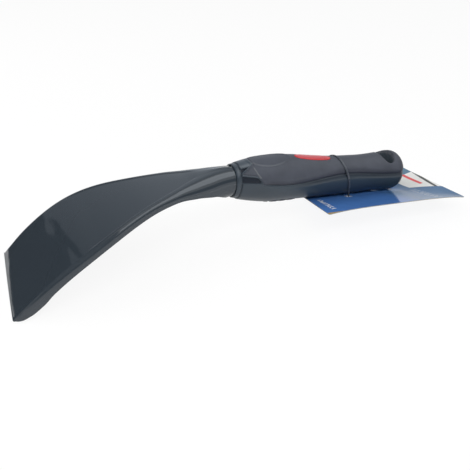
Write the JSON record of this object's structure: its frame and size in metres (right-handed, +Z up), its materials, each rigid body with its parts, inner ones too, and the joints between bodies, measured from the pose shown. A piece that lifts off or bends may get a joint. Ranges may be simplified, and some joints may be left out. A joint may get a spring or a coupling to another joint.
{
  "type": "hand shovel",
  "caption": "Short hand shovel: a curved steel scoop with turned-down sides and a rolled neck, in a two-material handle with a hang hole, and a retail card tied under it.",
  "frame": {"origin": "middle of the blade's working edge, on the surface that the tool rests on", "axes": "+X from the working edge towards the handle, +Y across the tool, +Z up"},
  "size_m": [0.2943, 0.0856, 0.0458],
  "materials": {
    "lacquered_steel": "gloss",
    "bare_steel": "satin",
    "hard_plastic": "satin",
    "soft_grip": "matte",
    "badge_plastic": "gloss",
    "printed_card": "gloss",
    "tie_nylon": "satin"
  },
  "bodies": {
    "root": {"blade": "lacquered_steel", "tang": "bare_steel", "front_collar": "hard_plastic", "handle_core": "hard_plastic", "upper_grip": "soft_grip", "finger_grip": "soft_grip", "badge": "badge_plastic", "sales_card": "printed_card", "card_tie": "tie_nylon"}
  },
  "joints": []
}
